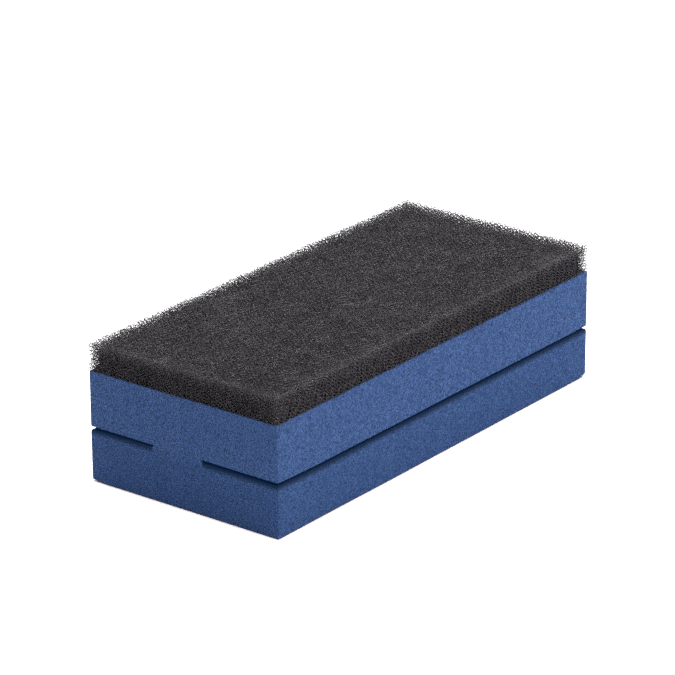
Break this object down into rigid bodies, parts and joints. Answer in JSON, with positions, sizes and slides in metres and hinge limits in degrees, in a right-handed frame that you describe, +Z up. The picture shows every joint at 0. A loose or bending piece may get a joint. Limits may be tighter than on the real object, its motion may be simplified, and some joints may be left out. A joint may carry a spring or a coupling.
{
  "type": "foam board eraser",
  "caption": "Hand-held foam eraser block: a dense slotted foam handle with a soft open-cell wiping pad bonded on top.",
  "frame": {"origin": "centre of the rest face, the flat bottom of the dense foam block", "axes": "+X along the length, +Y across the width towards the side with the shallower slot, +Z up through the wiping pad"},
  "size_m": [0.11, 0.05, 0.031],
  "materials": {
    "dense_foam": "matte closed-cell EVA foam, fine cut grain with small dark pits",
    "adhesive": "thin film of amber hot-melt adhesive",
    "open_cell_foam": "very matte charcoal open-cell polyurethane foam with fuzzy see-through edges"
  },
  "bodies": {
    "root": {"grip_block": "dense_foam", "adhesive_film": "adhesive", "foam_pad": "open_cell_foam"}
  },
  "joints": []
}
